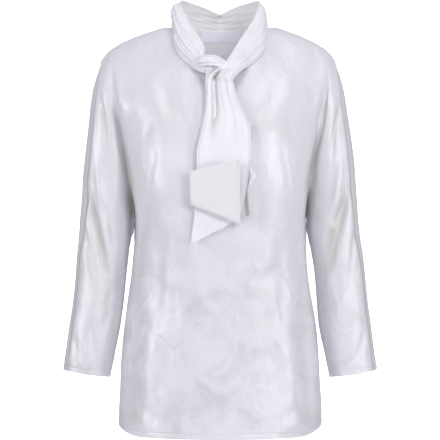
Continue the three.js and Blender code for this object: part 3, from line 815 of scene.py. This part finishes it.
knot = {
    "wall": 1.4,
    # middle x, y, z and half width, from behind the left edge to the tucked end
    "run": [(-32, -93, -69, 8.5), (-35.2, -99.5, -69.5, 9.2), (-31, -106, -69.3, 9.6),
            (-20, -110.5, -68.4, 9.6), (-8, -111, -69.4, 9.2), (3, -107, -73, 8.6), (12, -99, -79, 8)],
    "round": 4.6,
    "turn": 82,
    # pleats along the band: height, how many, their drift and their start
    "pleats": [(0.95, 2.4, 0.05, 0), (0.5, 4.1, -0.11, 1)],
}


def makeKnot():
    run = np.array(knot["run"], float)
    k = np.linspace(0, len(run) - 1, 91)
    middle = curveAt(run, k)
    b = np.linspace(0, 1, 49)[:, None]
    turn = np.radians((b * 2 - 1) * knot["turn"])
    pleats = sum(high * np.sin(2 * math.pi * (many * b + drift * k) + start)
                 for high, many, drift, start in knot["pleats"])
    forward = (knot["round"] + pleats) * np.cos(turn)
    along = np.gradient(middle[:, :3], axis=0)
    out = np.stack([along[:, 1], -along[:, 0], 0 * along[:, 0]], 1)
    out /= np.linalg.norm(out, axis=1, keepdims=True)
    p = middle[None, :, :3] + out[None] * forward[..., None]
    p[..., 2] -= middle[:, 3] * np.sin(turn)
    index = np.arange(b.size * k.size).reshape(b.size, k.size)
    # painted shade in the hollows of its pleats
    obj = makeSheet("knot_band", p, gridFaces(index), knot["wall"], scarfSatin, ["knot"],
                    smooth(-pleats / 3))
    print("knot", round(sheetArea(obj), 4), "m2")


makeKnot()


# rear end of the scarf, hanging behind the front one

rearEnd = {
    "wall": 1.2,
    # left x, left z, right x, right z, y of each row
    "rows": [(-23, -76, 6, -78, -99), (-24.6, -99, 14.3, -99, -104.6), (-26, -149, 30, -136, -113.5),
             (-35, -195, 50, -194, -124.5), (-40, -254, 50, -246, -131.5), (-42, -318, 48.5, -274, -132.5),
             (-48.5, -378, 55, -326, -131.5)],
    # small turned corner at the right, as steps from its root: x, y, z on the outer edge and on the inner one
    "ear": [(50.5, -131, -244, 46, -131, -243), (54, -134, -254, 49, -134.5, -252),
            (59.8, -136.5, -264, 51, -137, -263), (56, -136, -272, 49, -136.5, -272),
            (52, -133, -279, 47, -133, -281)],
    "earWall": 0.9,
}


def makeRearEnd():
    rows = np.array(rearEnd["rows"], float)
    s = np.linspace(0, len(rows) - 1, 121)[:, None]
    a = np.linspace(0, 1, 61)[None, :]
    left, right = curveAt(rows[:, [0, 4, 1]], s[:, 0]), curveAt(rows[:, [2, 4, 3]], s[:, 0])
    p = left[:, None] * (1 - a[..., None]) + right[:, None] * a[..., None]
    # pleats from the knot die away, and below them it waves a little
    p[..., 1] += 1.6 * np.clip(1 - s / 4, 0, 1) * np.cos(2 * math.pi * (a - 0.5) / 0.5)
    p[..., 1] += 0.6 * smooth(s - 4) * np.sin(4 * a + s)
    # it bends back between the front end and its own right edge
    bend = np.exp(-((a - 0.9) / 0.045) ** 2) * smooth((s - 2.6) / 1.2)
    p[..., 1] += 3.2 * bend
    # painted shade in the bend and over its right part, which lies back behind the front end
    shade = 0.75 * bend + 0.35 * smooth((a - 0.7) / 0.15) * (a < 0.95)
    index = np.arange(s.size * a.size).reshape(s.size, a.size)
    obj = makeSheet("rear_end", p, gridFaces(index), rearEnd["wall"], scarfSatin, ["tie_back"],
                    shade)
    print("rear end", round(sheetArea(obj), 4), "m2")


def makeEar():
    rows = np.array(rearEnd["ear"], float)
    s = np.linspace(0, len(rows) - 1, 25)
    outer, inner = curveAt(rows[:, :3], s), curveAt(rows[:, 3:], s)
    a = np.linspace(0, 1, 9)[None, :, None]
    p = inner[:, None] * (1 - a) + outer[:, None] * a
    p[..., 1] -= np.sin(math.pi * a[..., 0])
    index = np.arange(s.size * a.size).reshape(s.size, a.size)
    obj = makeSheet("rear_end_ear", p, gridFaces(index), rearEnd["earWall"], scarfSatin, [])
    print("ear", round(sheetArea(obj), 5), "m2")


makeRearEnd()
makeEar()


# label: blank woven tape inside the back neck

label = {
    "width": 73,
    "height": 21,
    "wall": 0.7,
    "top": 1.5,
    "shift": 1.5,
    "inside": 4.1,
    # one step of the form across the back of the neck
    "backStep": 35,
    # the ends are stitched down in a dip of this depth, this far in
    "dip": 0.35,
    "dipIn": 2.5,
}


def makeLabel():
    a = np.linspace(0, 1, 61)
    b = np.linspace(0, 1, 19)
    x = (a - 0.5) * label["width"] + label["shift"]
    # it follows the back panels just under the neck edge
    u = np.abs(x) / label["backStep"]
    under = bodyPoints("back", False, u, 0.05 + b * 0.17)[..., 1]
    top = bodyPoints("back", False, u, np.array([0.0]))[..., 1]
    fromEnd = np.minimum(a, 1 - a) * label["width"]
    y = top + 0.9 * (under - top) - label["inside"] + label["dip"] * np.exp(-(fromEnd - label["dipIn"]) ** 2)
    z = -label["top"] - b[:, None] * (label["height"] - label["top"]) + 0 * y
    p = np.stack([np.broadcast_to(x, y.shape), y, z], -1)
    index = np.arange(y.size).reshape(y.shape)
    obj = makeSheet("label_tape", p, gridFaces(index), label["wall"], labelTape, ["label"])
    print("label", round(sheetArea(obj), 5), "m2")


makeLabel()


# stage, light and camera

# a seamless sweep of white paper: floor, bend and wall
stage = {"color": "#f6f6f8", "glow": 0.4, "floorZ": -1.15, "wallY": 4.0, "bend": 0.9, "halfWide": 1.0,
         "frontY": -0.6, "topZ": 0.75}


def makeBackdrop():
    floorZ, wallY, bend, halfWide = (stage[key] for key in ("floorZ", "wallY", "bend", "halfWide"))
    profile = [(stage["frontY"], floorZ), (wallY - bend, floorZ)]
    profile += [(wallY - bend + bend * math.sin(t), floorZ + bend - bend * math.cos(t))
                for t in np.linspace(0.1, math.pi / 2, 16)]
    profile += [(wallY, stage["topZ"])]
    points = [(x, y, z) for y, z in profile for x in (-halfWide, halfWide)]
    quads = [(2 * k, 2 * k + 1, 2 * k + 3, 2 * k + 2) for k in range(len(profile) - 1)]
    obj = addObject("backdrop", points, quads)
    bpy.ops.object.shade_smooth()
    # matt paper that glows a little, so that it stays white behind the blouse
    paper = bpy.data.materials.new("whitePaper")
    paper.use_nodes = True
    shader = paper.node_tree.nodes["Principled BSDF"]
    shader.inputs["Base Color"].default_value = linear(stage["color"])
    shader.inputs["Roughness"].default_value = 0.9
    shader.inputs["Emission Color"].default_value = (1, 1, 1, 1)
    shader.inputs["Emission Strength"].default_value = stage["glow"]
    obj.data.materials.append(paper)


# place, what it points at, width and height, and watts
lights = {
    "keyLight": ((1.4, -2.6, 0.4), (0, 0, -0.3), (0.7, 0.7), 19),
    "frontLight": ((-0.2, -3.2, -0.3), (0, 0, -0.38), (1.7, 1.5), 8),
    "leftLight": ((-2.3, -1.6, 0.0), (0, 0, -0.4), (0.6, 1.4), 24),
    "rightLight": ((2.2, -1.7, -0.4), (0.1, 0, -0.5), (0.7, 1.3), 16),
    "underLight": ((0, -2.4, -1.7), (0, 0, -0.3), (1.2, 0.5), 4.5),
    "neckLight": ((0, -0.05, -0.02), (0, 0.06, -0.005), (0.09, 0.04), 0.05),
    "topLight": ((0.2, -0.8, 1.4), (0, 0, -0.05), (1.2, 0.6), 8),
    "wallLight": ((0, 2.2, 1.9), (0, 4.0, -0.4), (2.0, 0.5), 90),
}
roomLight = {"color": "#f4f5ff", "strength": 0.34}
# the photo is taken from straight in front, and is 770 mm wide at the blouse
photo = {"away": 3.0, "middleZ": -0.338, "wide": 0.77, "sensor": 36}


def addLight(name, place, target, size, power):
    light = bpy.data.lights.new(name, "AREA")
    light.shape = "RECTANGLE"
    light.size, light.size_y = size
    light.energy = power
    obj = bpy.data.objects.new(name, light)
    bpy.context.collection.objects.link(obj)
    obj.location = place
    obj.rotation_euler = (Vector(target) - Vector(place)).to_track_quat("-Z", "Y").to_euler()
    obj.visible_camera = False


def addCamera():
    camera = bpy.data.cameras.new("photoCamera")
    camera.sensor_width = photo["sensor"]
    camera.lens = photo["sensor"] * photo["away"] / photo["wide"]
    camera.clip_end = 20
    obj = bpy.data.objects.new("photoCamera", camera)
    bpy.context.collection.objects.link(obj)
    obj.location = (0, -photo["away"], photo["middleZ"])
    obj.rotation_euler = (math.radians(90), 0, 0)
    bpy.context.scene.camera = obj


makeBackdrop()
for name, settings in lights.items():
    addLight(name, *settings)
world = bpy.data.worlds.new("studio")
bpy.context.scene.world = world
world.use_nodes = True
background = world.node_tree.nodes["Background"]
background.inputs["Color"].default_value = linear(roomLight["color"])
background.inputs["Strength"].default_value = roomLight["strength"]
addCamera()
bpy.context.scene.view_settings.view_transform = "Standard"
print("stage, light and camera set")
